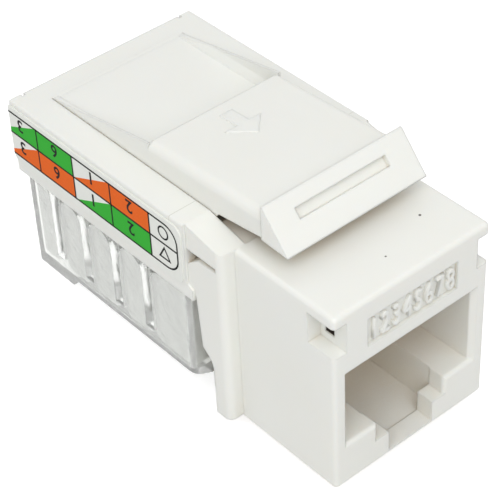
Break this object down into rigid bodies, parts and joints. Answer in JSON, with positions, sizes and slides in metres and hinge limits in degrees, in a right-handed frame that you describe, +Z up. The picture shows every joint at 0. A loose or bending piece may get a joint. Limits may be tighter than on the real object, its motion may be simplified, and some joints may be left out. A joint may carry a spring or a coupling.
{
  "type": "keystone jack",
  "caption": "Snap-in modular socket with an eight-way plug port, a sprung latch, wiring labels and a clear cap over its wire terminals.",
  "frame": {"origin": "The middle of the plug port's mouth, in the plane of the front face.", "axes": "+X across the jack, +Y from the front face to the rear, +Z up towards the latch."},
  "size_m": [0.0176, 0.0338, 0.0212],
  "materials": {
    "ivory_abs": "moulded warm white plastic, fine satin surface",
    "carrier_pbt": "moulded off-white plastic",
    "gold_plated_wire": "gold-plated phosphor bronze wire",
    "tinned_bronze": "tinned phosphor bronze sheet",
    "board_laminate": "green lacquered glass-epoxy laminate",
    "white_pc": "moulded white plastic",
    "clear_pc": "clear polished polycarbonate",
    "label_film": "printed self-adhesive film"
  },
  "bodies": {
    "jack": {"housing": "ivory_abs", "contact_carrier": "carrier_pbt", "jack_contact_1": "gold_plated_wire", "jack_contact_2": "gold_plated_wire", "jack_contact_3": "gold_plated_wire", "jack_contact_4": "gold_plated_wire", "jack_contact_5": "gold_plated_wire", "jack_contact_6": "gold_plated_wire", "jack_contact_7": "gold_plated_wire", "jack_contact_8": "gold_plated_wire", "circuit_board": "board_laminate", "idc_block": "white_pc", "idc_contact_1": "tinned_bronze", "idc_contact_2": "tinned_bronze", "idc_contact_3": "tinned_bronze", "idc_contact_4": "tinned_bronze", "idc_contact_5": "tinned_bronze", "idc_contact_6": "tinned_bronze", "idc_contact_7": "tinned_bronze", "idc_contact_8": "tinned_bronze", "wiring_label_left": "label_film", "wiring_label_right": "label_film"},
    "latch": {"latch_arm": "ivory_abs"},
    "cap": {"wire_cap": "clear_pc"}
  },
  "joints": [
    {"name": "latch_flex", "type": "hinge", "parent": "jack", "child": "latch", "pos_m": [0, 0.03155, 0.0089], "axis": [1, 0, 0], "range_deg": [0, 2.2], "stiffness_Nm_per_rad": 0.01, "springref_deg": -3.44},
    {"name": "cap_pull", "type": "slide", "parent": "jack", "child": "cap", "axis": [0, 0, -1], "range_m": [0, 0.009]}
  ]
}
